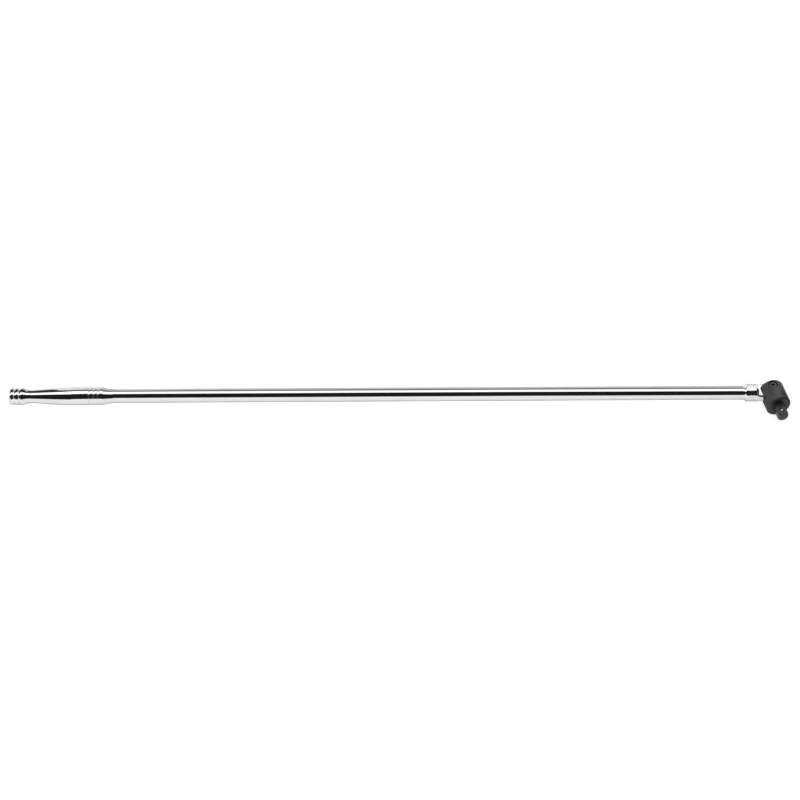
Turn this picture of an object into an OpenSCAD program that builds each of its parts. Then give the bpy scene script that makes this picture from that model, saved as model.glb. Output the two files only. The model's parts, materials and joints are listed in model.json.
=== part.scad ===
// Breaker bar with a half-inch square drive on a swinging fork head.
//
// A solid chromed bar ends in a flat tongue. A black fork head straddles the tongue on a socket-head
// pivot screw, so that the square drive swings 90 degrees each way from straight. A spring-loaded ball
// in the floor of the fork rubs on the tongue's round tip and holds the head where it is put, and a
// second spring-loaded ball in the square drive holds the socket on.
//
// Frame: the origin is the centre of the flat butt end, +X runs along the bar to the head, and +Z runs
// along the pivot screw, towards its head. Inside drive_frame(), +X is the way the drive points.

/* [Handle] */
// Length from the butt to the drive's tip with the head straight
overall_l = 1016; // [760:1:1100]
// Diameter of the plain shaft
shaft_d = 18.4; // [17:0.1:19.5]
// Diameter of the grip at its thickest
grip_d = 23.4; // [22:0.1:24]
// Diameter over the beads at the butt
bead_d = 22.6; // [21.5:0.1:23]
// Diameter of the neck between the beads and the grip
neck_d = 17.1; // [15:0.1:18]
// Length along the bar from one bead to the next
bead_pitch = 6.1; // [5.6:0.1:6.6]
// Radius of a bead's crown
bead_crown_r = 3.9; // [3.6:0.1:4.6]
// Distance from the butt to the end of the grip's full thickness
grip_end_x = 119.6; // [115:0.1:150]

/* [Collar and tongue] */
// Diameter of the collar and width of the tongue
collar_d = 23.4; // [22.6:0.1:24]
// Distance from the pivot back to where the collar reaches its full diameter
collar_back = 32.4; // [30:0.1:38]
// Thickness of the tongue between its two flats
tongue_t = 12; // [10:0.1:13]
// Distance from the pivot back to where the flats start to rise
scoop_back = 15.2; // [15:0.1:18]
// Radius of the cutter that leaves the scoop at the end of each flat
scoop_r = 6; // [5.8:0.1:8]
// Distances from the pivot back to the collar's ring grooves
collar_grooves = [28.6, 24.8]; // [23:0.1:31]

/* [Fork head] */
// Swing of the head at rest, measured from straight
rest_swing = 74; // [0:1:90]
// Outside diameter of the head
head_d = 32.4; // [31.4:0.1:34]
// Width of the slot between the two ears
slot_w = 13.8; // [13.7:0.1:15]
// Distance from the pivot to the free end of the ears
ear_l = 9.5; // [8:0.1:10.5]
// Distance from the pivot to the floor of the slot
slot_floor = 12; // [11.9:0.1:12.6]
// Distance from the pivot to the shoulder that a socket meets
shoulder = 24.6; // [24.6:0.1:28]

/* [Square drive] */
// Size across the flats of the square drive
drive_af = 12.7; // [12.7:standard half inch]
// Length of the square drive from the shoulder to its tip
drive_l = 17.8; // [16:0.1:19]
// Diameter that the square's four corners are turned to
drive_corner_d = 15.7; // [15.2:0.1:16.8]

/* [Pivot screw] */
// Diameter of the screw's plain shank
shank_d = 8; // [7:0.1:9]
// Diameter that stands for the screw's thread
thread_d = 7.2; // [6:0.1:7.4]
// Diameter of the screw's head
screw_head_d = 10.6; // [10:0.1:11]
// Size across the flats of the hexagon socket
hex_af = 5; // [4:0.5:6]

/* [Balls] */
// Diameter of the ball that holds the socket on
detent_ball_d = 4.76; // [4.4:0.01:4.8]
// How far that ball stands out of the drive's flat
detent_stand = 1.3; // [1:0.1:1.4]
// Distance from the drive's tip to the ball's centre
detent_from_tip = 6.5; // [5:0.1:7]
// Diameter of the ball that rubs on the tongue
tension_ball_d = 6; // [5:0.1:6.4]

/* [Hidden] */
$fn = 96;

chrome = [0.84, 0.85, 0.87];
black_oxide = [0.20, 0.20, 0.21];
screw_black = [0.14, 0.14, 0.15];
spring_steel = [0.55, 0.56, 0.58];

// Clearances
run_gap = 0.05;
thread_gap = 0.02;
touch_gap = 0.02;

// Size of a cutter that reaches right through, and how far one starts outside what it cuts
reach = 40;
past = 1;

// Handle
pivot_x = overall_l - shoulder - drive_l;
shaft_r = shaft_d / 2;
grip_r = grip_d / 2;
neck_r = neck_d / 2;
bead_c = bead_d / 2 - bead_crown_r;
bead_valley = acos(bead_pitch / 2 / bead_crown_r);
last_bead_flat = 1.2;
cone_slope = 20;
cone_x = bead_crown_r + 2 * bead_pitch + last_bead_flat + bead_crown_r * sin(cone_slope);
cone_r = bead_c + bead_crown_r * cos(cone_slope);
neck_x = cone_x + (cone_r - neck_r) / tan(cone_slope);
swell_l = 55;
swell_power = 1.25;
run_out_l = 20;
run_out_power = 2.5;
grip_grooves = [102.2, 108, 113.8];
groove_w = 1.8;
groove_depth = 0.6;

// Collar and tongue
collar_r = collar_d / 2;
flare_r = 6;
collar_round = 3;
flare_turn = acos(1 - (collar_r - shaft_r) / (flare_r + collar_round));
collar_x = pivot_x - collar_back;
flare_x = collar_x - (flare_r + collar_round) * sin(flare_turn);
tip_r = collar_r;
pivot_bore_d = shank_d + 2 * run_gap;

// Head
head_r = head_d / 2;
ear_round = 5.2;
shoulder_round = 1.6;
counterbore_gap = 0.9;
screw_seat_z = 10.2;
screw_head_h = 4.6;
screw_tip_z = -15.2;
screw_edge = 0.6;
socket_depth = 3;
washer_t = (slot_w - tongue_t) / 2 - 2 * run_gap;
washer_d = 20;

// Drive and balls
drive_tip = shoulder + drive_l;
tip_chamfer_l = 1.6;
tip_chamfer_r = 1.6;
detent_r = detent_ball_d / 2;
detent_x = drive_tip - detent_from_tip;
detent_z = drive_af / 2 + detent_stand - detent_r;
detent_seat_z = -3;
detent_coil_r = 1.7;
detent_wire_r = 0.25;
tension_r = tension_ball_d / 2;
tension_x = tip_r + tension_r + touch_gap;
tension_seat_x = 24.6;
tension_coil_r = 2.2;
tension_wire_r = 0.35;

// Springs: a closed turn rises by a little more than the wire's thickness, given in wire radii
closed_rise = 2.2;
tension_turns = 6;
detent_turns = 7;
coil_steps = 14;
wire_sides = 6;

// Points on an arc about c, from angle a to angle b
function arc(c, r, a, b, n = 12) =
    [for (i = [0 : n]) let (t = a + (b - a) * i / n) c + r * [cos(t), sin(t)]];

// A ring groove cut into a bar of radius r, as four points of the bar's outline
function groove(x, r) =
    [[x - groove_w / 2, r], [x - groove_w / 5, r - groove_depth],
     [x + groove_w / 5, r - groove_depth], [x + groove_w / 2, r]];

// The run-out from the grip falls fast from radius a and levels out into the shaft at radius b
function run_out(x, a, b, n = 14) =
    [for (i = [0 : n]) let (s = i / n) [x + run_out_l * s, b + (a - b) * pow(1 - s, run_out_power)]];

// The swell rises steadily from the neck and levels out into the grip
function swell(n = 18) =
    [for (i = [0 : n]) let (s = i / n)
        [neck_x + swell_l * s, neck_r + (grip_r - neck_r) * sin(90 * pow(s, swell_power))]];

// Height of a coil's wire after u turns: the first and last turns are closed up
function coil_rise(u, turns, rise, wire_r) =
    let (closed = closed_rise * wire_r, open = (rise - 2 * closed) / (turns - 2))
    u < 1 ? u * closed : u > turns - 1 ? rise - (turns - u) * closed : closed + (u - 1) * open;

// Outline of the bar, as [distance from the butt, radius]
function bar_outline() = concat(
    [[0, 0]],
    arc([bead_crown_r, bead_c], bead_crown_r, 180, bead_valley),
    arc([bead_crown_r + bead_pitch, bead_c], bead_crown_r, 180 - bead_valley, bead_valley),
    arc([bead_crown_r + 2 * bead_pitch, bead_c], bead_crown_r, 180 - bead_valley, 90, 8),
    arc([bead_crown_r + 2 * bead_pitch + last_bead_flat, bead_c], bead_crown_r, 90, 90 - cone_slope, 3),
    swell(),
    [for (x = grip_grooves) each groove(x, grip_r)],
    run_out(grip_end_x, grip_r, shaft_r),
    arc([flare_x, shaft_r + flare_r], flare_r, -90, flare_turn - 90, 8),
    arc([collar_x, collar_r - collar_round], collar_round, 90 + flare_turn, 90, 6),
    [for (x = collar_grooves) each groove(pivot_x - x, collar_r)],
    [[pivot_x + tip_r, collar_r], [pivot_x + tip_r, 0]]);

// Turns an outline of [distance along X, radius] about the X axis
module turned_x(outline) {
    rotate([0, 90, 0])
        rotate_extrude()
            polygon([for (p = outline) [p[1], p[0]]]);
}

// The square corner of an outline, less the round of radius r that is to stay there
module corner_cut(r) {
    difference() {
        square(r + past);
        circle(r);
    }
}

// Places its children in the head's frame, at the head's rest swing
module drive_frame() {
    translate([pivot_x, 0, 0])
        rotate([0, 0, -rest_swing])
            children();
}

// Space above one flat of the tongue, with the scoop that the cutter leaves
module flat_cut() {
    translate([pivot_x - scoop_back, -reach / 2, tongue_t / 2])
        cube([reach, reach, reach]);
    translate([pivot_x - scoop_back, 0, tongue_t / 2 + scoop_r])
        rotate([90, 0, 0])
            cylinder(r = scoop_r, h = reach, center = true);
}

module handle_bar() {
    color(chrome)
        difference() {
            intersection() {
                turned_x(bar_outline());
                union() {
                    translate([-past, -reach / 2, -reach / 2])
                        cube([pivot_x + past, reach, reach]);
                    translate([pivot_x, 0, 0])
                        cylinder(r = tip_r, h = reach, center = true);
                }
            }
            flat_cut();
            mirror([0, 0, 1])
                flat_cut();
            translate([pivot_x, 0, 0])
                cylinder(d = pivot_bore_d, h = reach, center = true);
        }
}

// The turned outside of the head, with a round at each end
module head_blank() {
    rotate([0, 90, 0])
        rotate_extrude()
            difference() {
                translate([0, -ear_l])
                    square([head_r, ear_l + shoulder]);
                translate([head_r - ear_round, ear_round - ear_l])
                    mirror([0, 1])
                        corner_cut(ear_round);
                translate([head_r - shoulder_round, shoulder - shoulder_round])
                    corner_cut(shoulder_round);
            }
}

// The square drive: flats milled on a turned spigot whose tip is coned
module drive_square() {
    intersection() {
        translate([shoulder - past, -drive_af / 2, -drive_af / 2])
            cube([drive_l + past, drive_af, drive_af]);
        turned_x([[shoulder - past, 0], [shoulder - past, drive_corner_d / 2],
                  [drive_tip - tip_chamfer_l, drive_corner_d / 2],
                  [drive_tip, drive_corner_d / 2 - tip_chamfer_r], [drive_tip, 0]]);
    }
}

// The hole for the detent ball, whose staked mouth follows the ball
module detent_bore() {
    translate([detent_x, 0, detent_seat_z])
        cylinder(r = detent_r + run_gap, h = detent_z - detent_seat_z);
    translate([detent_x, 0, detent_z])
        sphere(r = detent_r + run_gap);
}

module drive_head() {
    color(black_oxide)
        drive_frame()
            difference() {
                union() {
                    head_blank();
                    drive_square();
                }
                translate([slot_floor - reach, -reach / 2, -slot_w / 2])
                    cube([reach, reach, slot_w]);
                cylinder(d = pivot_bore_d, h = reach / 2);
                translate([0, 0, screw_seat_z])
                    cylinder(d = screw_head_d + 2 * counterbore_gap, h = reach / 2);
                translate([0, 0, -reach / 2])
                    cylinder(d = thread_d + 2 * thread_gap, h = reach / 2);
                translate([slot_floor - past, 0, 0])
                    rotate([0, 90, 0])
                        cylinder(r = tension_r + run_gap, h = tension_seat_x - slot_floor + past);
                detent_bore();
            }
}

module pivot_screw() {
    color(screw_black)
        drive_frame()
            difference() {
                union() {
                    translate([0, 0, screw_seat_z])
                        cylinder(d = screw_head_d, h = screw_head_h - screw_edge);
                    translate([0, 0, screw_seat_z + screw_head_h - screw_edge])
                        cylinder(d1 = screw_head_d, d2 = screw_head_d - 2 * screw_edge, h = screw_edge);
                    translate([0, 0, -slot_w / 2])
                        cylinder(d = shank_d, h = screw_seat_z + slot_w / 2);
                    translate([0, 0, screw_tip_z + screw_edge])
                        cylinder(d = thread_d, h = -slot_w / 2 - screw_tip_z - screw_edge);
                    translate([0, 0, screw_tip_z])
                        cylinder(d1 = thread_d - 2 * screw_edge, d2 = thread_d, h = screw_edge);
                }
                translate([0, 0, screw_seat_z + screw_head_h - socket_depth])
                    cylinder(d = hex_af / cos(30), h = socket_depth + past, $fn = 6);
            }
}

// A plain washer that fills the gap between the tongue and one ear
module thrust_washer() {
    color(spring_steel)
        drive_frame()
            translate([0, 0, tongue_t / 2 + run_gap])
                difference() {
                    cylinder(d = washer_d, h = washer_t);
                    translate([0, 0, -past])
                        cylinder(d = pivot_bore_d, h = washer_t + 2 * past);
                }
}

module thrust_washer_upper() {
    thrust_washer();
}

module thrust_washer_lower() {
    mirror([0, 0, 1])
        thrust_washer();
}

// A compression spring standing on z = 0, as one tube swept round the coil
module coil_spring(coil_r, wire_r, length, turns) {
    steps = turns * coil_steps;
    tube = [for (i = [0 : steps], k = [0 : wire_sides - 1])
        let (a = 360 * i / coil_steps,
             b = 360 * k / wire_sides,
             r = coil_r + wire_r * cos(b),
             z = wire_r + coil_rise(i / coil_steps, turns, length - 2 * wire_r, wire_r))
        [r * cos(a), r * sin(a), z + wire_r * sin(b)]];
    skin = [for (i = [0 : steps - 1], k = [0 : wire_sides - 1])
        let (n = (k + 1) % wire_sides, j = i * wire_sides)
        [j + k, j + wire_sides + k, j + wire_sides + n, j + n]];
    start = [for (k = [0 : wire_sides - 1]) k];
    end = [for (k = [wire_sides - 1 : -1 : 0]) steps * wire_sides + k];
    polyhedron(points = tube, faces = concat([start], skin, [end]), convexity = 8);
}

// Height at which a coil of radius coil_r meets a ball of radius ball_r, below the ball's centre
function ball_seat(ball_r, coil_r, wire_r) =
    sqrt(pow(ball_r + wire_r, 2) - pow(coil_r, 2)) - wire_r + touch_gap;

module tension_ball() {
    color(chrome)
        drive_frame()
            translate([tension_x, 0, 0])
                sphere(r = tension_r);
}

module tension_spring() {
    spring_l = tension_seat_x - tension_x - ball_seat(tension_r, tension_coil_r, tension_wire_r);
    color(spring_steel)
        drive_frame()
            translate([tension_seat_x, 0, 0])
                rotate([0, -90, 0])
                    coil_spring(tension_coil_r, tension_wire_r, spring_l, tension_turns);
}

module detent_ball() {
    color(chrome)
        drive_frame()
            translate([detent_x, 0, detent_z])
                sphere(r = detent_r);
}

module detent_spring() {
    spring_l = detent_z - detent_seat_z - ball_seat(detent_r, detent_coil_r, detent_wire_r);
    color(spring_steel)
        drive_frame()
            translate([detent_x, 0, detent_seat_z])
                coil_spring(detent_coil_r, detent_wire_r, spring_l, detent_turns);
}

handle_bar();
drive_head();
pivot_screw();
thrust_washer_upper();
thrust_washer_lower();
tension_ball();
tension_spring();
detent_ball();
detent_spring();
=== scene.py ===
import json
import math

import bmesh
import bpy
from mathutils import Matrix, Vector, geometry


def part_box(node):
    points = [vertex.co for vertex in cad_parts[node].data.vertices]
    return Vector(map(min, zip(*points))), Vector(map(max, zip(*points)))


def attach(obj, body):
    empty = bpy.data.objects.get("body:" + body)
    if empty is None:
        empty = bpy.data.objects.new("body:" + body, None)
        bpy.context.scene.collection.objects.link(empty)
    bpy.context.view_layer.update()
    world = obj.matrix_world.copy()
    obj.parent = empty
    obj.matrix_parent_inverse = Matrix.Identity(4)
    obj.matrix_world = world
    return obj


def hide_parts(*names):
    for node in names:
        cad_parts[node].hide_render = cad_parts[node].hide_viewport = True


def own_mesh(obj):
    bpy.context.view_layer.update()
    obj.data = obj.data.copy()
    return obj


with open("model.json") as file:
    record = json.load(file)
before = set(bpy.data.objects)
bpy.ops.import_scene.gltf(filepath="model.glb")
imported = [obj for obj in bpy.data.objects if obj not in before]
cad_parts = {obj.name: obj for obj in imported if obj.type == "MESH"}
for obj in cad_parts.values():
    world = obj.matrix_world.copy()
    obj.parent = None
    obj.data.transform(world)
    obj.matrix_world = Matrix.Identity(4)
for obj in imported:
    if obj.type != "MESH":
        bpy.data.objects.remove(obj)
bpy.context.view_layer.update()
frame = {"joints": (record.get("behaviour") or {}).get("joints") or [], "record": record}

MM = 0.001

# ---------------------------------------------------------------- sizes, in millimetres
# The frame gives the driving sizes. The head's own frame has +X along the drive and its origin at the
# pivot; the bar's has +X from the butt to the head.

record = frame["record"]
joints = {j["name"]: j for j in frame["joints"]}
mounts = {m["name"]: m for m in record["mounts"]}

PIVOT = Vector(joints["head_swing"]["pos_m"]) / MM
DRIVE_DIR = Vector(joints["tension_ball_travel"]["axis"]).normalized()
HEAD_FRAME = Matrix.Translation(PIVOT) @ Matrix.Rotation(math.atan2(DRIVE_DIR.y, DRIVE_DIR.x), 4, "Z")


def box_mm(node):
    """A CAD node's lowest and highest corners, in millimetres."""
    low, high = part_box(node)
    return low / MM, high / MM


def along_drive(point):
    """How far a point lies from the pivot, measured along the drive."""
    return (point - PIVOT).dot(DRIVE_DIR)


def centre_of(node):
    low, high = box_mm(node)
    return (low + high) / 2


BAR_LOW, BAR_HIGH = box_mm("handle_bar")
HEAD_HIGH = box_mm("drive_head")[1]
SCREW_LOW, SCREW_HIGH = box_mm("pivot_screw")
WASHER_LOW, WASHER_HIGH = box_mm("thrust_washer_upper")
TENSION_LOW, TENSION_HIGH = box_mm("tension_ball")
DETENT_LOW, DETENT_HIGH = box_mm("detent_ball")
COIL_LOW, COIL_HIGH = box_mm("detent_spring")

# Bar
GRIP_R = mounts["grip"]["dims"]["r_mm"]
SHAFT_R = 9.2
COLLAR_R = BAR_HIGH.z
TIP_R = BAR_HIGH.x - PIVOT.x
BEAD_R = 11.3
BEAD_PITCH = 6.1
CROWN_R = 3.9
LAST_BEAD_FLAT = 1.2
CONE_SLOPE = math.radians(20)
NECK_R = 8.55
SWELL_L = 55.0
SWELL_POWER = 1.25
GRIP_END = 119.6
RUN_OUT_L = 20.0
RUN_OUT_POWER = 2.5
GRIP_GROOVES = (102.2, 108.0, 113.8)
GROOVE_W = 1.8
GROOVE_DEPTH = 0.6
COLLAR_BACK = 32.4
FLARE_R = 6.0
COLLAR_ROUND = 3.0
COLLAR_GROOVES = (28.6, 24.8)
SCOOP_BACK = 15.2
SCOOP_R = 6.0
TONGUE_EDGE = 2.8
WASHER_GAP = 0.05
TONGUE_HALF = WASHER_LOW.z - WASHER_GAP
PIVOT_BORE_R = 4.05

# Head
HEAD_R = HEAD_HIGH.z
EAR_L = 9.5
EAR_ROUND = 5.2
SHOULDER = along_drive(Vector(mounts["drive_shoulder"]["pos_m"]) / MM)
SHOULDER_ROUND = 1.6
SLOT_HALF = WASHER_HIGH.z + WASHER_GAP
SLOT_FLOOR = TIP_R + 0.3
SCREW_SEAT = 10.2
SCREW_HEAD_R = 5.3
COUNTERBORE_R = SCREW_HEAD_R + 0.9
SHANK_R = 4.0
THREAD_R = 3.6
HEX_AF = 5.0
DRIVE_TIP = along_drive(Vector(mounts["drive_tip"]["pos_m"]) / MM)
DRIVE_HALF = 6.35
DRIVE_CORNER_R = 7.85

# Balls and springs
TENSION_R = (TENSION_HIGH.z - TENSION_LOW.z) / 2
TENSION_X = along_drive(centre_of("tension_ball"))
DETENT_R = (DETENT_HIGH.z - DETENT_LOW.z) / 2
DETENT_X = along_drive(centre_of("detent_ball"))
DETENT_Z = centre_of("detent_ball").z
COIL_FLOOR_Z = COIL_LOW.z


# ---------------------------------------------------------------- outlines

def arc(centre, radius, start, end, count):
    """Points on an arc of a 2-D outline, from one angle in degrees to another."""
    turn = [math.radians(start + (end - start) * i / count) for i in range(count + 1)]
    return [(centre[0] + radius * math.cos(t), centre[1] + radius * math.sin(t)) for t in turn]


def ease(x, length, start, end, count, wave):
    """Points from radius start to radius end over length, shaped by wave(0..1)."""
    steps = [i / count for i in range(count + 1)]
    return [(x + length * s, start + (end - start) * wave(s)) for s in steps]


def rounded(points, radius, count=5):
    """An outline with its corners rounded. A corner may hold its own radius as a third number."""
    out = []
    for i, corner in enumerate(points):
        here = Vector(corner[:2])
        r = corner[2] if len(corner) > 2 else radius
        if i in (0, len(points) - 1) or r == 0:
            out.append(tuple(here))
            continue
        back = Vector(points[i - 1][:2]) - here
        ahead = Vector(points[i + 1][:2]) - here
        reach = r / math.tan(back.angle(ahead) / 2)
        reach = min(reach, 0.48 * back.length, 0.48 * ahead.length)
        start = here + back.normalized() * reach
        end = here + ahead.normalized() * reach
        for k in range(count + 1):
            t = k / count
            out.append(tuple(start * (1 - t) ** 2 + here * (2 * t * (1 - t)) + end * t ** 2))
    return out


def groove(x, radius):
    """A rounded ring groove, as a stretch of a bar's outline."""
    half, floor = GROOVE_W / 2, radius - GROOVE_DEPTH
    return rounded([(x - half - 0.4, radius), (x - half, radius, 0.2), (x - half / 2, floor, 0.5),
                    (x + half / 2, floor, 0.5), (x + half, radius, 0.2), (x + half + 0.4, radius)], 0.2, 4)


def bar_outline():
    """The turned bar from the butt to the end of the collar, as (distance, radius)."""
    crown = BEAD_R - CROWN_R
    valley = math.degrees(math.acos(BEAD_PITCH / 2 / CROWN_R))
    last = CROWN_R + 2 * BEAD_PITCH
    cone_x = last + LAST_BEAD_FLAT + CROWN_R * math.sin(CONE_SLOPE)
    cone_r = crown + CROWN_R * math.cos(CONE_SLOPE)
    neck_x = cone_x + (cone_r - NECK_R) / math.tan(CONE_SLOPE)
    swell = ease(neck_x, SWELL_L, NECK_R, GRIP_R, 60, lambda s: math.sin(math.pi / 2 * s ** SWELL_POWER))
    run_out = ease(GRIP_END, RUN_OUT_L, GRIP_R, SHAFT_R, 28, lambda s: 1 - (1 - s) ** RUN_OUT_POWER)
    flare_turn = math.acos(1 - (COLLAR_R - SHAFT_R) / (FLARE_R + COLLAR_ROUND))
    collar_x = PIVOT.x - COLLAR_BACK
    flare_x = collar_x - (FLARE_R + COLLAR_ROUND) * math.sin(flare_turn)
    flare_turn = math.degrees(flare_turn)
    shaft_start = GRIP_END + RUN_OUT_L

    points = [(0, 0), (0, crown - 0.5), (0.15, crown)]
    points += arc((CROWN_R, crown), CROWN_R, 172, valley, 22)
    points += arc((CROWN_R + BEAD_PITCH, crown), CROWN_R, 180 - valley, valley, 20)[1:]
    points += arc((last, crown), CROWN_R, 180 - valley, 90, 12)[1:]
    points += arc((last + LAST_BEAD_FLAT, crown), CROWN_R, 90, 90 - math.degrees(CONE_SLOPE), 6)
    points += rounded([(cone_x, cone_r), (neck_x, NECK_R, 9.0), swell[5]], 9.0, 10)[1:]
    points += swell[6:]
    for x in GRIP_GROOVES:
        points += groove(x, GRIP_R)
    points += rounded([(GRIP_END - 4, GRIP_R), (GRIP_END, GRIP_R, 12.0), run_out[3]], 12.0, 6)
    points += run_out[4:]
    points += [(shaft_start + (flare_x - shaft_start) * i / 40, SHAFT_R) for i in range(1, 40)]
    points += arc((flare_x, SHAFT_R + FLARE_R), FLARE_R, -90, flare_turn - 90, 14)
    points += arc((collar_x, COLLAR_R - COLLAR_ROUND), COLLAR_ROUND, 90 + flare_turn, 90, 10)[1:]
    for x in COLLAR_GROOVES:
        points += groove(PIVOT.x - x, COLLAR_R)
    return points


# ---------------------------------------------------------------- mesh tools

def make_piece(name, bm, matrix=None):
    """Turns a bmesh in millimetres into a piece in the frame's metres, with its faces turned outwards."""
    bmesh.ops.remove_doubles(bm, verts=bm.verts, dist=1e-4)
    bmesh.ops.recalc_face_normals(bm, faces=bm.faces)
    mesh = bpy.data.meshes.new(name)
    bm.to_mesh(mesh)
    bm.free()
    if matrix:
        mesh.transform(matrix)
    mesh.transform(Matrix.Scale(MM, 4))
    piece = bpy.data.objects.new(name, mesh)
    bpy.context.scene.collection.objects.link(piece)
    return piece


def skin_rings(bm, rings, cap_start=True, cap_end=True):
    """Joins equal rings of points into a closed tube."""
    rows = [[bm.verts.new(p) for p in ring] for ring in rings]
    count = len(rows[0])
    for near, far in zip(rows, rows[1:]):
        for i in range(count):
            j = (i + 1) % count
            bm.faces.new((near[i], near[j], far[j], far[i]))
    if cap_start:
        bm.faces.new(rows[0])
    if cap_end:
        bm.faces.new(rows[-1])


def turned(outline, segments, axis="X"):
    """A bmesh turned from an outline of (distance along the axis, radius)."""
    bm = bmesh.new()
    rings = []
    for distance, radius in outline:
        radius = max(radius, 0.0)
        ring = []
        for i in range(segments):
            a = 2 * math.pi * i / segments
            across, up = radius * math.cos(a), radius * math.sin(a)
            ring.append((distance, across, up) if axis == "X" else (across, up, distance))
        rings.append(ring)
    skin_rings(bm, rings, cap_start=outline[0][1] > 0, cap_end=outline[-1][1] > 0)
    return bm


def block(low, high):
    """A box between two corners, as a bmesh."""
    bm = bmesh.new()
    size = Vector(high) - Vector(low)
    centre = (Vector(high) + Vector(low)) / 2
    bmesh.ops.create_cube(bm, size=1.0, matrix=Matrix.Translation(centre) @ Matrix.Diagonal((*size, 1)))
    return bm


def apply_modifiers(piece):
    """Bakes a piece's modifiers into its mesh."""
    graph = bpy.context.evaluated_depsgraph_get()
    mesh = bpy.data.meshes.new_from_object(piece.evaluated_get(graph))
    piece.modifiers.clear()
    piece.data = mesh


def carve(piece, tool, operation="DIFFERENCE"):
    """Cuts a tool out of a piece, or joins or intersects them, and discards the tool."""
    cut = piece.modifiers.new("carve", "BOOLEAN")
    cut.object = tool
    cut.operation = operation
    cut.solver = "EXACT"
    apply_modifiers(piece)
    bpy.data.objects.remove(tool)


def soften(piece, width, angle=35, segments=3):
    """Rounds the edges that are sharper than an angle."""
    bevel = piece.modifiers.new("edges", "BEVEL")
    bevel.width = width * MM
    bevel.segments = segments
    bevel.limit_method = "ANGLE"
    bevel.angle_limit = math.radians(angle)
    bevel.miter_outer = "MITER_ARC"
    apply_modifiers(piece)


def smooth(piece, angle=32):
    """Smooth shading, with creases kept and flats weighted over their rounded edges."""
    piece.data.shade_smooth()
    piece.data.set_sharp_from_angle(angle=math.radians(angle))
    even = piece.modifiers.new("normals", "WEIGHTED_NORMAL")
    even.keep_sharp = True
    even.weight = 60
    apply_modifiers(piece)


def finish_piece(piece, material, body, node):
    """Gives a piece its material and its place in the part."""
    piece.data.materials.clear()
    piece.data.materials.append(material)
    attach(piece, body)
    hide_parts(node)
    return piece


# ---------------------------------------------------------------- node materials

class Graph:
    """A node tree, with short ways to add the nodes that the materials and the studio share."""

    def __init__(self, tree):
        self.tree = tree
        self.nodes = tree.nodes

    def link(self, source, target):
        self.tree.links.new(source, target)

    def feed(self, socket, value):
        """Sets a socket to a number or a colour, or links it."""
        if isinstance(value, (int, float)):
            socket.default_value = value
        elif isinstance(value, tuple):
            socket.default_value = (*value, 1.0)
        else:
            self.link(value, socket)

    def spread(self, value, low, high, start=0.0, end=1.0):
        """Maps a value from one range to another."""
        node = self.nodes.new("ShaderNodeMapRange")
        node.inputs["From Min"].default_value = start
        node.inputs["From Max"].default_value = end
        node.inputs["To Min"].default_value = low
        node.inputs["To Max"].default_value = high
        self.link(value, node.inputs["Value"])
        return node.outputs["Result"]

    def combine(self, operation, a, b):
        node = self.nodes.new("ShaderNodeMath")
        node.operation = operation
        self.feed(node.inputs[0], a)
        self.feed(node.inputs[1], b)
        return node.outputs["Value"]

    def blend(self, factor, a, b):
        """A colour between a and b."""
        node = self.nodes.new("ShaderNodeMix")
        node.data_type = "RGBA"
        self.feed(node.inputs["Factor"], factor)
        # a mix node holds one pair of inputs for each data type, and the last pair is for colours
        pair = [socket for socket in node.inputs if socket.type == "RGBA"]
        self.feed(pair[0], a)
        self.feed(pair[1], b)
        return [socket for socket in node.outputs if socket.type == "RGBA"][0]

    def camera_flag(self, seen, lit):
        """Mixes two shaders: the first for the camera, the second for everything else."""
        mix = self.nodes.new("ShaderNodeMixShader")
        path = self.nodes.new("ShaderNodeLightPath")
        self.link(path.outputs["Is Camera Ray"], mix.inputs["Fac"])
        self.link(lit, mix.inputs[1])
        self.link(seen, mix.inputs[2])
        return mix.outputs["Shader"]


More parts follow.
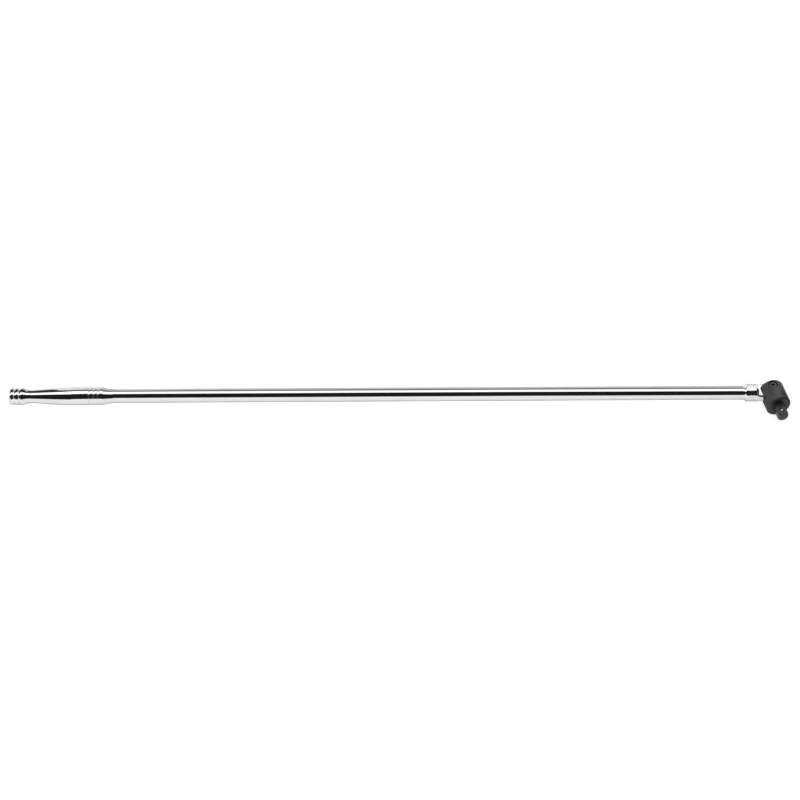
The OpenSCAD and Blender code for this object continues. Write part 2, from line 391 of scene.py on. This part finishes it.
class Look(Graph):
    """A Principled material with short ways to drive it from noise in object space."""

    def __init__(self, name, metallic, specular=0.5):
        self.material = bpy.data.materials.new(name)
        self.material.use_nodes = True
        super().__init__(self.material.node_tree)
        self.shader = self.nodes["Principled BSDF"]
        self.shader.inputs["Metallic"].default_value = metallic
        self.shader.inputs["Specular IOR Level"].default_value = specular
        self.place = self.nodes.new("ShaderNodeTexCoord").outputs["Object"]

    def stretched(self, scale, rotation=(0, 0, 0)):
        """Object coordinates scaled along each axis."""
        node = self.nodes.new("ShaderNodeMapping")
        node.inputs["Scale"].default_value = scale
        node.inputs["Rotation"].default_value = rotation
        self.link(self.place, node.inputs["Vector"])
        return node.outputs["Vector"]

    def noise(self, scale, detail=4.0, roughness=0.5, vector=None):
        node = self.nodes.new("ShaderNodeTexNoise")
        node.inputs["Scale"].default_value = scale
        node.inputs["Detail"].default_value = detail
        node.inputs["Roughness"].default_value = roughness
        self.link(vector or self.place, node.inputs["Vector"])
        return node.outputs["Fac"]

    def painted_hollow_shade(self, distance, low):
        """Painted shade: 1 on open faces, falling to low in holes, slots and inner corners, where shade falls."""
        node = self.nodes.new("ShaderNodeAmbientOcclusion")
        node.inputs["Distance"].default_value = distance
        return self.spread(node.outputs["AO"], low, 1.0, 0.3, 0.85)

    def edge(self, radius, start, end):
        """Near 1 within a radius of a worn edge, and 0 on open faces."""
        bevel = self.nodes.new("ShaderNodeBevel")
        bevel.inputs["Radius"].default_value = radius
        geometry_node = self.nodes.new("ShaderNodeNewGeometry")
        dot = self.nodes.new("ShaderNodeVectorMath")
        dot.operation = "DOT_PRODUCT"
        self.link(bevel.outputs["Normal"], dot.inputs[0])
        self.link(geometry_node.outputs["Normal"], dot.inputs[1])
        return self.spread(dot.outputs["Value"], 1.0, 0.0, start, end)

    def bump(self, height, distance, strength=1.0):
        """Adds a layer of relief, on top of the layers added before."""
        node = self.nodes.new("ShaderNodeBump")
        node.inputs["Strength"].default_value = strength
        node.inputs["Distance"].default_value = distance
        self.link(height, node.inputs["Height"])
        normal = self.shader.inputs["Normal"]
        if normal.is_linked:
            self.link(normal.links[0].from_socket, node.inputs["Normal"])
        self.link(node.outputs["Normal"], normal)

    def colour(self, source):
        self.link(source, self.shader.inputs["Base Color"])

    def roughness(self, source):
        self.link(source, self.shader.inputs["Roughness"])


def chrome_look():
    """Polished chrome plate: long polishing waves, fine hairlines and faint handling haze."""
    look = Look("polished_chrome", 1.0)
    haze = look.noise(38.0, 3.0)
    look.colour(look.blend(haze, (0.84, 0.835, 0.825), (0.93, 0.925, 0.915)))
    smudge = look.spread(look.noise(90.0, 5.0, 0.6), 0.02, 0.07, 0.45, 0.75)
    hairline = look.noise(1.0, 2.0, 0.5, look.stretched((5200.0, 260.0, 260.0)))
    look.roughness(look.combine("ADD", smudge, look.spread(hairline, 0.0, 0.03, 0.4, 0.8)))
    look.bump(look.noise(1.0, 2.0, 0.5, look.stretched((34.0, 120.0, 120.0))), 0.00002, 0.4)
    look.bump(hairline, 0.000002, 0.35)
    return look.material


def oxide_look():
    """Black oxide over machined steel: blotchy charcoal, fine blasted grain, worn edges lightened partly as a painted
    rim highlight, and painted shade in its slots and hollows.
    """
    look = Look("black_oxide", 0.42, 0.30)
    mottle = look.noise(130.0, 6.0, 0.62)
    grain = look.noise(4200.0, 3.0, 0.55)
    base = look.blend(look.spread(mottle, 0.0, 1.0, 0.3, 0.7), (0.076, 0.076, 0.078), (0.114, 0.112, 0.109))
    worn = look.edge(0.0007, 0.80, 0.985)
    patchy = look.spread(look.noise(420.0, 5.0, 0.7), 0.0, 1.0, 0.42, 0.62)
    # brighter edges: real wear to bare steel, made bright enough to stand in for the rim highlight, so partly painted
    # highlight
    wear_and_rim_highlight = look.combine("MULTIPLY", worn, patchy)
    metal = look.blend(look.combine("MULTIPLY", wear_and_rim_highlight, 0.6), base, (0.36, 0.35, 0.34))
    # painted shade: the colour falls to near black in the slot, the bores and the inner corners
    look.colour(look.blend(look.painted_hollow_shade(0.012, 0.0), (0.008, 0.008, 0.008), metal))
    dull = look.spread(mottle, 0.32, 0.44, 0.3, 0.7)
    look.roughness(look.combine("SUBTRACT", dull, look.combine("MULTIPLY", wear_and_rim_highlight, 0.12)))
    look.bump(mottle, 0.00008, 0.30)
    look.bump(grain, 0.00003, 0.45)
    return look.material


def screw_look():
    """Oiled black oxide on a turned screw: glossier than the head, with painted shade darkening its socket."""
    look = Look("screw_black", 0.35, 0.4)
    spots = look.noise(700.0, 5.0, 0.6)
    base = look.blend(spots, (0.100, 0.100, 0.103), (0.150, 0.148, 0.144))
    worn = look.edge(0.0004, 0.78, 0.98)
    metal = look.blend(look.combine("MULTIPLY", worn, 0.5), base, (0.34, 0.33, 0.32))
    # painted shade: the colour falls to near black in the socket and in the inner corners
    look.colour(look.blend(look.painted_hollow_shade(0.003, 0.0), (0.010, 0.010, 0.010), metal))
    look.roughness(look.spread(spots, 0.28, 0.44, 0.3, 0.7))
    look.bump(look.noise(5200.0, 2.0), 0.00002, 0.35)
    return look.material


def steel_look(name, tint, low, high):
    """Bright drawn or rolled steel, with a directional grain and slight staining."""
    look = Look(name, 1.0)
    stain = look.noise(520.0, 5.0, 0.6)
    dark = tuple(channel * 0.72 for channel in tint)
    look.colour(look.blend(look.spread(stain, 0.0, 1.0, 0.35, 0.7), tint, dark))
    grain = look.noise(1.0, 3.0, 0.5, look.stretched((900.0, 900.0, 9000.0)))
    look.roughness(look.spread(grain, low, high, 0.3, 0.7))
    look.bump(grain, 0.000008, 0.4)
    return look.material


def ball_look():
    """A hardened, lapped ball with a few hair scratches from use."""
    look = Look("bearing_steel", 1.0)
    scratch = look.noise(1.0, 2.0, 0.5, look.stretched((9000.0, 700.0, 700.0), (0.4, 0.8, 0.3)))
    look.colour(look.blend(look.noise(900.0, 3.0), (0.84, 0.85, 0.87), (0.93, 0.93, 0.94)))
    look.roughness(look.spread(scratch, 0.03, 0.12, 0.45, 0.8))
    look.bump(scratch, 0.000003, 0.3)
    return look.material


# ---------------------------------------------------------------- the bar

def bar_section(x, radius, half, quarter=32, flat=10, corner=8):
    """One ring of the bar: a circle that two flats at +-half cut. All rings have the same count."""
    half = min(half, radius)
    edge_turn = math.asin(half / radius) if radius > 0 else math.pi / 2
    flat_half = math.sqrt(max(radius ** 2 - half ** 2, 0.0))
    break_r = min(TONGUE_EDGE, 0.4 * flat_half)
    arc_end = edge_turn - (break_r / radius if radius > 0 else 0.0)
    side = [(radius * math.cos(arc_end * i / quarter), radius * math.sin(arc_end * i / quarter))
            for i in range(quarter + 1)]
    start = Vector(side[-1])
    peak = Vector((flat_half, half))
    end = Vector((flat_half - break_r, half))
    bend = []
    for k in range(1, corner + 1):
        t = k / corner
        bend.append(tuple(start * (1 - t) ** 2 + peak * (2 * t * (1 - t)) + end * t ** 2))
    top = [(end.x * (1 - i / flat), half) for i in range(1, flat + 1)]
    first = side + bend + top
    second = [(-y, z) for y, z in reversed(first[:-1])]
    upper = first + second
    lower = [(y, -z) for y, z in reversed(upper[1:-1])]
    return [(x, y, z) for y, z in upper + lower]


def build_bar(material):
    rings = [bar_section(x, r, r) for x, r in bar_outline()]
    scoop_x = PIVOT.x - SCOOP_BACK
    scoop_z = TONGUE_HALF + SCOOP_R
    first_turn = math.degrees(math.asin((scoop_z - COLLAR_R) / SCOOP_R))
    for x, z in arc((scoop_x, scoop_z), SCOOP_R, 180 + first_turn, 270, 26):
        rings.append(bar_section(x, COLLAR_R, z))
    rings.append(bar_section(PIVOT.x - 8, COLLAR_R, TONGUE_HALF))
    rings.append(bar_section(PIVOT.x + TIP_R + 2, COLLAR_R, TONGUE_HALF))
    bm = bmesh.new()
    skin_rings(bm, rings)
    piece = make_piece("bar", bm)
    # the round tip
    tip = turned([(-20, TIP_R), (20, TIP_R)], 128, "Z")
    tip_tool = make_piece("tip_tool", tip, Matrix.Translation(PIVOT))
    body_tool = make_piece("body_tool", block((-5, -20, -20), (PIVOT.x, 20, 20)))
    carve(tip_tool, body_tool, "UNION")
    carve(piece, tip_tool, "INTERSECT")
    # the pivot's bore, with a chamfer at each mouth
    mouth = PIVOT_BORE_R + 0.6
    over = TONGUE_HALF + 1
    bore = turned([(-over, 0), (-over, mouth + 1), (-TONGUE_HALF, mouth), (0.6 - TONGUE_HALF, PIVOT_BORE_R),
                   (TONGUE_HALF - 0.6, PIVOT_BORE_R), (TONGUE_HALF, mouth), (over, mouth + 1), (over, 0)],
                  64, "Z")
    carve(piece, make_piece("bore_tool", bore, Matrix.Translation(PIVOT)))
    smooth(piece, 30)
    return finish_piece(piece, material, "handle", "handle_bar")


# ---------------------------------------------------------------- the fork head

def drive_section(x, half, corner_r, flat=8, corner=6):
    """One ring of the square drive: a square whose corners lie on a circle."""
    reach = max(corner_r, 0.0)
    edge_turn = math.acos(half / reach) if reach > half else 0.0
    ring = []
    for side in range(4):
        base = side * math.pi / 2
        octant = [math.atan2(math.tan(edge_turn) * i, flat) for i in range(flat + 1)]
        octant += [edge_turn + (math.pi / 4 - edge_turn) * i / corner for i in range(1, corner + 1)]
        turns = [-a for a in reversed(octant[1:])] + octant[:-1]
        for a in turns:
            r = min(half / math.cos(a), reach)
            ring.append((x, r * math.cos(base + a), r * math.sin(base + a)))
    return ring


def build_drive():
    """The square drive: a small fillet at its root, milled flats, and a turned cone at its tip."""
    fillet, cone_l, cone_r = 0.6, 1.6, 1.6
    rings = [drive_section(SHOULDER - 1.5, DRIVE_HALF + fillet, DRIVE_CORNER_R + fillet)]
    for i in range(7):
        t = math.radians(90 * i / 6)
        grow = fillet * (1 - math.sin(t))
        rings.append(drive_section(SHOULDER + fillet * (1 - math.cos(t)), DRIVE_HALF + grow,
                                   DRIVE_CORNER_R + grow))
    cone = rounded([(DRIVE_TIP - cone_l - 1, DRIVE_CORNER_R), (DRIVE_TIP - cone_l, DRIVE_CORNER_R, 0.6),
                    (DRIVE_TIP, DRIVE_CORNER_R - cone_r, 0.35), (DRIVE_TIP, DRIVE_CORNER_R - cone_r - 1)],
                   0.5, 5)
    steps = []
    for (x0, r0), (x1, r1) in zip(cone, cone[1:]):
        steps += [(x0 + (x1 - x0) * i / 4, r0 + (r1 - r0) * i / 4) for i in range(4)]
    steps.append(cone[-1])
    rings += [drive_section(x, DRIVE_HALF, r) for x, r in steps]
    bm = bmesh.new()
    skin_rings(bm, rings)
    return make_piece("drive_stub", bm, HEAD_FRAME)


def build_head(material):
    rim = HEAD_R - EAR_ROUND
    outline = [(-EAR_L, 0)]
    outline += arc((EAR_ROUND - EAR_L, rim), EAR_ROUND, 180, 90, 12)
    outline += arc((SHOULDER - SHOULDER_ROUND, HEAD_R - SHOULDER_ROUND), SHOULDER_ROUND, 90, 0, 8)
    outline += [(SHOULDER, 0)]
    piece = make_piece("fork_head", turned(outline, 160), HEAD_FRAME)
    carve(piece, build_drive(), "UNION")
    far = 30
    carve(piece, make_piece("slot_tool", block((-far, -far, -SLOT_HALF), (SLOT_FLOOR, far, SLOT_HALF)),
                            HEAD_FRAME))
    upper = turned([(0, 0), (0, PIVOT_BORE_R), (SCREW_SEAT, PIVOT_BORE_R), (SCREW_SEAT, COUNTERBORE_R),
                    (far, COUNTERBORE_R), (far, 0)], 64, "Z")
    carve(piece, make_piece("counterbore_tool", upper, HEAD_FRAME))
    lower = turned([(-far, 0), (-far, THREAD_R + 0.02), (0, THREAD_R + 0.02), (0, 0)], 64, "Z")
    carve(piece, make_piece("thread_tool", lower, HEAD_FRAME))
    pocket_r = TENSION_R + 0.05
    pocket = turned([(SLOT_FLOOR - 2, 0), (SLOT_FLOOR - 2, pocket_r), (24.6, pocket_r), (24.6, 0)], 48)
    carve(piece, make_piece("pocket_tool", pocket, HEAD_FRAME))
    seat_r = DETENT_R + 0.05
    seat = turned([(COIL_FLOOR_Z, 0), (COIL_FLOOR_Z, seat_r)]
                  + [(DETENT_Z + y, x) for x, y in arc((0, 0), seat_r, 0, 85, 16)] + [(DETENT_Z + seat_r, 0)],
                  48, "Z")
    at_detent = HEAD_FRAME @ Matrix.Translation((DETENT_X, 0, 0))
    carve(piece, make_piece("detent_tool", seat, at_detent))
    # the ring that the staking punch leaves round the ball
    punch_r = 3.05
    ring = turned([(DRIVE_HALF + 1, punch_r - 0.6), (DRIVE_HALF - 0.02, punch_r - 0.28),
                   (DRIVE_HALF - 0.22, punch_r), (DRIVE_HALF - 0.02, punch_r + 0.28),
                   (DRIVE_HALF + 1, punch_r + 0.6), (DRIVE_HALF + 1, punch_r - 0.6)], 48, "Z")
    carve(piece, make_piece("punch_tool", ring, at_detent))
    soften(piece, 0.32)
    smooth(piece, 34)
    return finish_piece(piece, material, "head", "drive_head")


# ---------------------------------------------------------------- screw, washers, balls, springs

def build_screw(material):
    """A socket-head screw: plain round head, hexagon socket, shank and a plain round end where the thread goes."""
    low, high = SCREW_LOW.z, SCREW_HIGH.z
    outline = rounded([(low, 0), (low, THREAD_R - 0.7, 0.1), (low + 0.6, THREAD_R, 0.1),
                       (-SLOT_HALF - 0.6, THREAD_R, 0.2), (-SLOT_HALF, SHANK_R, 0.2),
                       (SCREW_SEAT, SHANK_R, 0.3), (SCREW_SEAT, SCREW_HEAD_R, 0.25),
                       (high - 0.9, SCREW_HEAD_R, 0.3), (high, SCREW_HEAD_R - 0.9, 0.3), (high, 0)], 0.2, 4)
    piece = make_piece("socket_screw", turned(outline, 96, "Z"), HEAD_FRAME)
    hex_r = HEX_AF / 2 / math.cos(math.radians(30))
    depth = 3.0
    socket = turned([(high - depth - 0.9, 0), (high - depth, hex_r), (high + 1, hex_r), (high + 1, 0)], 6, "Z")
    carve(piece, make_piece("hex_tool", socket, HEAD_FRAME))
    lead = turned([(high - 0.5, 0), (high - 0.35, hex_r - 0.35), (high + 0.4, hex_r + 0.4), (high + 0.4, 0)],
                  48, "Z")
    carve(piece, make_piece("lead_tool", lead, HEAD_FRAME))
    smooth(piece, 30)
    return finish_piece(piece, material, "head", "pivot_screw")


def build_washer(name, node, material):
    low, high = box_mm(node)
    outer = (high.x - low.x) / 2
    bore, r = SHANK_R + 0.05, 0.22
    outline = rounded([(low.z + 0.3, bore), (low.z, bore, r), (low.z, outer, r), (high.z, outer, r),
                       (high.z, bore, r), (low.z + 0.3, bore)], r, 4)
    bm = turned(outline, 96, "Z")
    for cap in [f for f in bm.faces if len(f.verts) > 4]:
        bm.faces.remove(cap)
    piece = make_piece(name, bm, HEAD_FRAME)
    smooth(piece, 50)
    return finish_piece(piece, material, "head", node)


def build_ball(name, node, body, radius, material):
    bm = bmesh.new()
    bmesh.ops.create_icosphere(bm, subdivisions=5, radius=radius)
    piece = make_piece(name, bm, Matrix.Translation(centre_of(node)))
    piece.data.shade_smooth()
    return finish_piece(piece, material, body, node)


def build_spring(name, node, coil_r, wire_r, length, turns, place, material):
    """A compression spring with closed end turns, standing on its place's z = 0, at the given length."""
    closed = 2.2 * wire_r
    rise = length - 2 * wire_r
    open_pitch = (rise - 2 * closed) / (turns - 2)

    def height(turn):
        if turn < 1:
            return turn * closed
        if turn > turns - 1:
            return rise - (turns - turn) * closed
        return closed + (turn - 1) * open_pitch

    steps, sides = 40, 14
    rings = []
    for i in range(steps * turns + 1):
        a = 2 * math.pi * i / steps
        z = wire_r + height(i / steps)
        ring = []
        for k in range(sides):
            b = 2 * math.pi * k / sides
            r = coil_r + wire_r * math.cos(b)
            ring.append((r * math.cos(a), r * math.sin(a), z + wire_r * math.sin(b)))
        rings.append(ring)
    bm = bmesh.new()
    skin_rings(bm, rings)
    piece = make_piece(name, bm, place)
    smooth(piece, 60)
    finish_piece(piece, material, "head", node)
    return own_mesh(piece)


def ball_seat(ball_r, coil_r, wire_r):
    """How far below a ball's centre a coil's end rests on it."""
    return math.sqrt((ball_r + wire_r) ** 2 - coil_r ** 2) - wire_r + 0.02


chrome = chrome_look()
oxide = oxide_look()
screw_black = screw_look()
washer_steel = steel_look("washer_steel", (0.56, 0.56, 0.57), 0.22, 0.42)
spring_wire = steel_look("spring_wire", (0.50, 0.50, 0.52), 0.18, 0.34)
ball_steel = ball_look()

build_bar(chrome)
build_head(oxide)
build_screw(screw_black)
build_washer("upper_washer", "thrust_washer_upper", washer_steel)
build_washer("lower_washer", "thrust_washer_lower", washer_steel)
build_ball("friction_ball", "tension_ball", "tension_plunger", TENSION_R, ball_steel)
build_ball("socket_ball", "detent_ball", "socket_detent", DETENT_R, ball_steel)

tension_seat = 24.6
tension_l = tension_seat - TENSION_X - ball_seat(TENSION_R, 2.2, 0.35)
build_spring("friction_spring", "tension_spring", 2.2, 0.35, tension_l, 6,
             HEAD_FRAME @ Matrix.Translation((tension_seat, 0, 0)) @ Matrix.Rotation(-math.pi / 2, 4, "Y"),
             spring_wire)
detent_l = DETENT_Z - COIL_FLOOR_Z - ball_seat(DETENT_R, 1.7, 0.25)
build_spring("socket_spring", "detent_spring", 1.7, 0.25, detent_l, 7,
             HEAD_FRAME @ Matrix.Translation((DETENT_X, 0, COIL_FLOOR_Z)), spring_wire)


# ---------------------------------------------------------------- stage

def build_floor():
    """A wide pale sheet under the part, brightest where the camera sees it."""
    bm = bmesh.new()
    bmesh.ops.create_circle(bm, cap_ends=True, segments=96, radius=7000)
    floor = make_piece("floor", bm, Matrix.Translation((PIVOT.x / 2, 0, -HEAD_R - 0.2)))
    look = Look("pale_floor", 0.0, 0.1)
    look.colour(look.blend(look.noise(6.0, 4.0), (0.74, 0.74, 0.74), (0.78, 0.78, 0.78)))
    look.shader.inputs["Roughness"].default_value = 0.9
    look.bump(look.noise(900.0, 3.0), 0.0001, 0.1)
    # the glow that polished metal reflects fades under the bar as a painted shadow, and matt surfaces receive none of
    # it
    split = look.nodes.new("ShaderNodeSeparateXYZ")
    look.link(look.place, split.inputs["Vector"])
    path = look.nodes.new("ShaderNodeLightPath")
    glow = look.spread(look.combine("ABSOLUTE", split.outputs["Y"], 0.0), 0.0, FLOOR_GLOW, 0.002, 0.020)
    glow = look.combine("MULTIPLY", glow, path.outputs["Is Glossy Ray"])
    sheets = []
    for strength in (0.84, glow):
        light = look.nodes.new("ShaderNodeEmission")
        look.feed(light.inputs["Strength"], strength)
        sheet = look.nodes.new("ShaderNodeAddShader")
        look.link(look.shader.outputs["BSDF"], sheet.inputs[0])
        look.link(light.outputs["Emission"], sheet.inputs[1])
        sheets.append(sheet.outputs["Shader"])
    look.link(look.camera_flag(*sheets), look.nodes["Material Output"].inputs["Surface"])
    floor.data.materials.append(look.material)


# Brightness round the bar's axis, from the near horizon (0 degrees) over the top (90) to the far one (180)
STUDIO = (
    (0, 1.0), (11, 0.98), (13, 0.012), (78, 0.012), (80, 1.30), (114, 1.30), (116.5, 0.12), (137, 0.12),
    (140, 0.55), (180, 0.60),
)
# Cards that cover a stretch of that ring: from and to an angle, the direction's X where the card begins
# and where it is full, and its brightness
CARDS = (
    (139, 190, -0.050, -0.090, 0.88),
    (12, 80, 0.860, 0.930, 1.20),
    (113, 139, 0.420, 0.520, 0.80),
)
# Near its two ends the ring leans towards the camera: the direction's X where the lean begins and where
# it is full, and the lean in degrees
LEANS = ((0.030, 0.080, 5.8), (-0.075, -0.090, 7.5))
CARD_BLUR = math.radians(1.5)
FLOOR_GLOW = 0.47


def build_world():
    """A long overhead softbox, a black flag on the camera's side, a grey wall behind, and cards."""
    world = bpy.data.worlds.new("studio")
    world.use_nodes = True
    bpy.context.scene.world = world
    graph = Graph(world.node_tree)
    graph.nodes.clear()
    place = graph.nodes.new("ShaderNodeTexCoord")
    split = graph.nodes.new("ShaderNodeSeparateXYZ")
    graph.link(place.outputs["Generated"], split.inputs["Vector"])
    turn = graph.combine("ARCTAN2", split.outputs["Z"], graph.combine("MULTIPLY", split.outputs["Y"], -1.0))
    for start, full, lean in LEANS:
        turn = graph.combine("ADD", turn, graph.spread(split.outputs["X"], 0.0, math.radians(lean), start, full))
    ramp = graph.nodes.new("ShaderNodeValToRGB")
    stops = ramp.color_ramp.elements
    top = max(value for _, value in STUDIO)
    for i, (angle, value) in enumerate(STUDIO):
        stop = stops[i] if i < 2 else stops.new(1.0)
        stop.position = angle / 180
        stop.color = (value / top, value / top, value / top, 1)
    graph.link(graph.combine("DIVIDE", turn, math.pi), ramp.inputs["Fac"])
    light = graph.combine("MULTIPLY", ramp.outputs["Color"], top)
    for low, high, start, full, value in CARDS:
        low, high = math.radians(low), math.radians(high)
        above = graph.spread(turn, 0.0, 1.0, low - CARD_BLUR, low + CARD_BLUR)
        below = graph.spread(turn, 1.0, 0.0, high - CARD_BLUR, high + CARD_BLUR)
        inside = graph.combine("MULTIPLY", above, below)
        inside = graph.combine("MULTIPLY", inside, graph.spread(split.outputs["X"], 0.0, 1.0, start, full))
        change = graph.combine("MULTIPLY", inside, graph.combine("SUBTRACT", value, light))
        light = graph.combine("ADD", light, change)
    lit = graph.nodes.new("ShaderNodeBackground")
    graph.link(light, lit.inputs["Strength"])
    seen = graph.nodes.new("ShaderNodeBackground")
    for shader in (lit, seen):
        shader.inputs["Color"].default_value = (1, 1, 1, 1)
    out = graph.nodes.new("ShaderNodeOutputWorld")
    graph.link(graph.camera_flag(seen.outputs["Background"], lit.outputs["Background"]), out.inputs["Surface"])


def glowing_sheet(name, corners, brightness):
    """A flat sheet that gives the given light and that the camera doesn't see."""
    bm = bmesh.new()
    bm.faces.new([bm.verts.new(corner) for corner in corners])
    sheet = make_piece(name, bm)
    material = bpy.data.materials.new(name)
    material.use_nodes = True
    graph = Graph(material.node_tree)
    graph.nodes.clear()
    light = graph.nodes.new("ShaderNodeEmission")
    light.inputs["Strength"].default_value = brightness
    out = graph.nodes.new("ShaderNodeOutputMaterial")
    graph.link(light.outputs["Emission"], out.inputs["Surface"])
    sheet.data.materials.append(material)
    sheet.visible_camera = False
    return sheet


def build_card(name, centre_x, distance, edges, brightness):
    """A sheet beside the bar that only reflections show. Two edges run along the bar, each given as its
    angle in the ring of lights and the two distances along X where it starts and ends."""
    corners = []
    for turn, start, end in edges:
        y, z = -distance * math.cos(math.radians(turn)), distance * math.sin(math.radians(turn))
        corners.append([(centre_x + x, y, z) for x in (start, end)])
    card = glowing_sheet(name, (corners[0][0], corners[0][1], corners[1][1], corners[1][0]), brightness)
    card.visible_diffuse = False
    card.visible_shadow = False


def build_head_flag(x, y_low, y_high, z_low, z_high, brightness):
    """A dark sheet that stands across the bar's line, past the head, and shades its far side."""
    corners = ((x, y_low, z_low), (x, y_high, z_low), (x, y_high, z_high), (x, y_low, z_high))
    glowing_sheet("head_flag", corners, brightness)


def build_camera():
    """A long lens above the near side, aimed just under the middle of the bar."""
    elevation, roll = math.radians(50.5), math.radians(0.306)
    lens, sensor, frame_w = 180.0, 36.0, 1.0209
    distance = frame_w * lens / sensor
    back = Vector((0, -math.cos(elevation), math.sin(elevation)))
    up = Vector((0, math.sin(elevation), math.cos(elevation)))
    right = Vector((1, 0, 0))
    up, right = up * math.cos(roll) + right * math.sin(roll), right * math.cos(roll) - up * math.sin(roll)
    aim = Vector((0.4985, 0, 0)) - up * 0.0074
    data = bpy.data.cameras.new("camera")
    data.lens, data.sensor_width = lens, sensor
    data.clip_end = 50
    camera = bpy.data.objects.new("camera", data)
    camera.matrix_world = Matrix.Translation(aim + back * distance) @ Matrix(
        (right, up, back)).transposed().to_4x4()
    bpy.context.scene.collection.objects.link(camera)
    bpy.context.scene.camera = camera


build_floor()
build_world()
build_card("butt_flag", 0, 80, ((100.5, -150, 66), (148.5, -150, 44)), 0.03)
build_card("collar_card", PIVOT.x, 150, ((108, -26, 130), (136, -26, 130)), 1.3)
build_card("scoop_card", PIVOT.x, 150, ((134, 20, 130), (172, 20, 130)), 1.3)
build_head_flag(PIVOT.x + 60, -130, 60, -15, 110, 0.1)
build_camera()
bpy.context.scene.view_settings.view_transform = "Standard"
